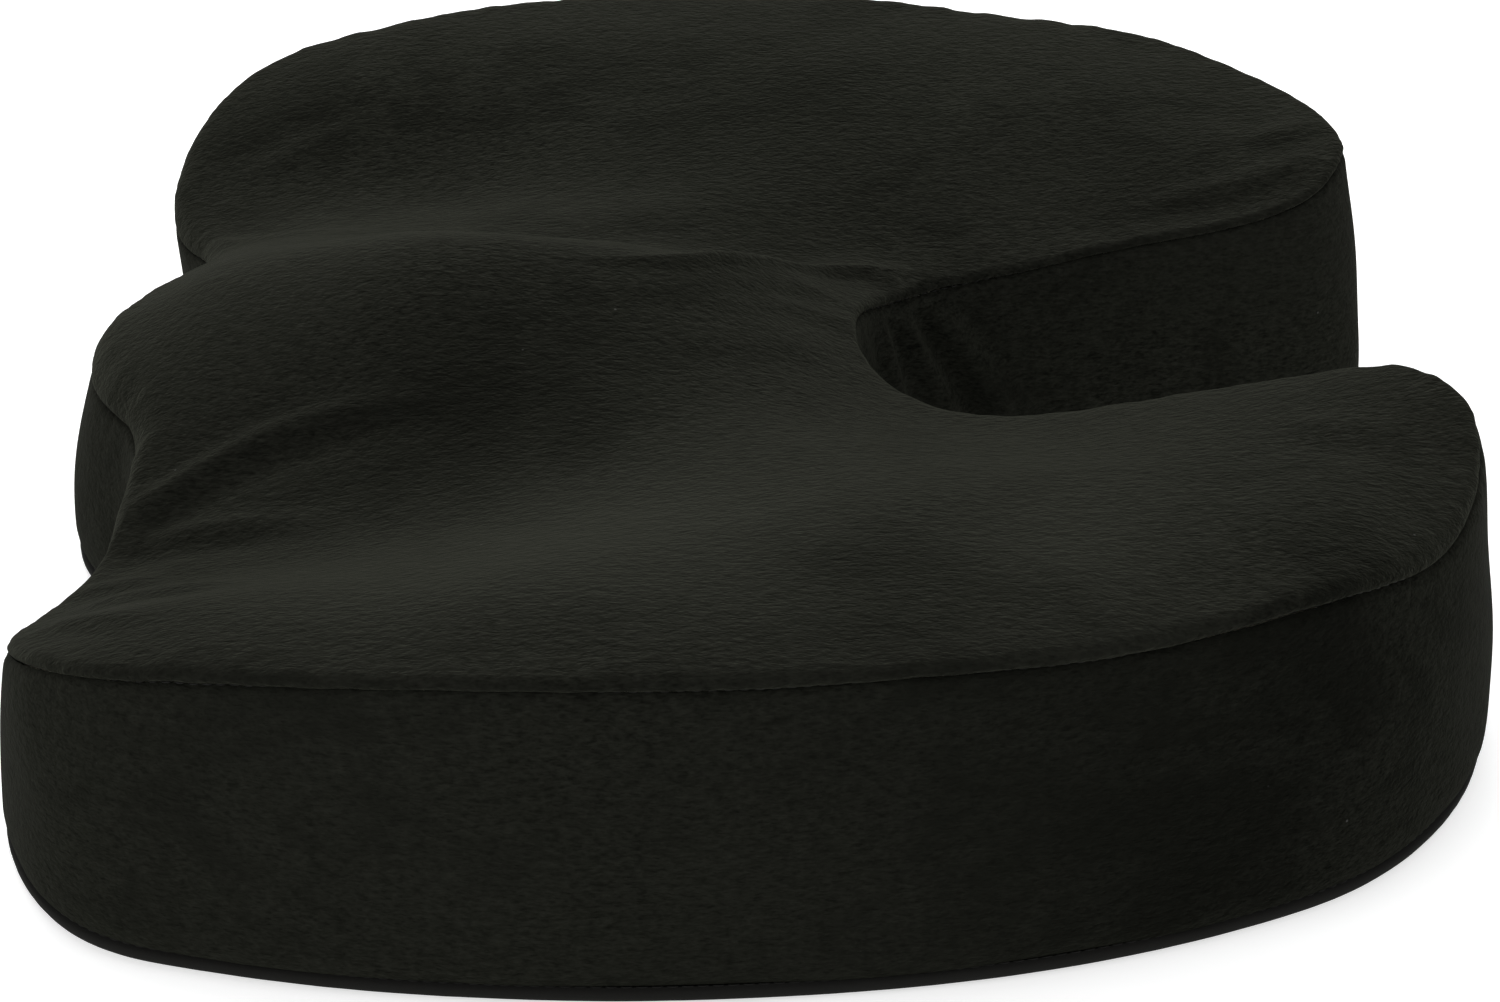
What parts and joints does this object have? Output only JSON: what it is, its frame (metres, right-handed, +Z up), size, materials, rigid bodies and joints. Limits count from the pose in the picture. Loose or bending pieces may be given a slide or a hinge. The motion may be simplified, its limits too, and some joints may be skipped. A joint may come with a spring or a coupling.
{
  "type": "seat cushion",
  "caption": "Contoured coccyx seat cushion with a U-shaped rear notch, raised pommel and thigh troughs, in a zipped plush cover.",
  "frame": {"origin": "middle of the underside", "axes": "+X across, to the left of a sitter who faces the front, -Y to the front edge with the pommel, +Y to the back edge with the notch, +Z up"},
  "size_m": [0.4386, 0.356, 0.0877],
  "materials": {
    "foam": "open-cell foam",
    "plush": "short-pile plush, top panel",
    "plush_band": "short-pile plush, side band",
    "backing": "woven non-slip cloth",
    "grip": "moulded grip dots",
    "thread": "spun sewing thread",
    "tape": "woven zipper tape",
    "coil": "nylon coil",
    "zipper_metal": "black enamel on zinc"
  },
  "bodies": {
    "cushion": {"foam_core": "foam", "cover_top": "plush", "side_band": "plush_band", "zipper_band_upper": "plush_band", "zipper_band_lower": "plush_band", "cover_bottom": "backing", "grip_dots": "grip", "top_seam_thread": "thread", "bottom_seam_thread": "thread", "band_seam_threads": "thread", "zipper_tape_upper": "tape", "zipper_tape_lower": "tape", "zipper_coil_upper": "coil", "zipper_coil_lower": "coil", "zipper_top_stops": "zipper_metal", "zipper_bottom_stop": "zipper_metal", "zipper_stitching": "thread"},
    "slider": {"zipper_slider": "zipper_metal"},
    "pull": {"zipper_pull": "zipper_metal"}
  },
  "joints": [
    {"name": "slider_travel", "type": "hinge", "parent": "cushion", "child": "slider", "pos_m": [0.08069, -0.02159, 0.024], "axis": [0, 0, 1], "range_deg": [0, 43.7]},
    {"name": "pull_swing", "type": "hinge", "parent": "slider", "child": "pull", "pos_m": [-0.19145, 0.1113, 0.024], "axis": [0, 0, -1], "range_deg": [0, 160]}
  ]
}
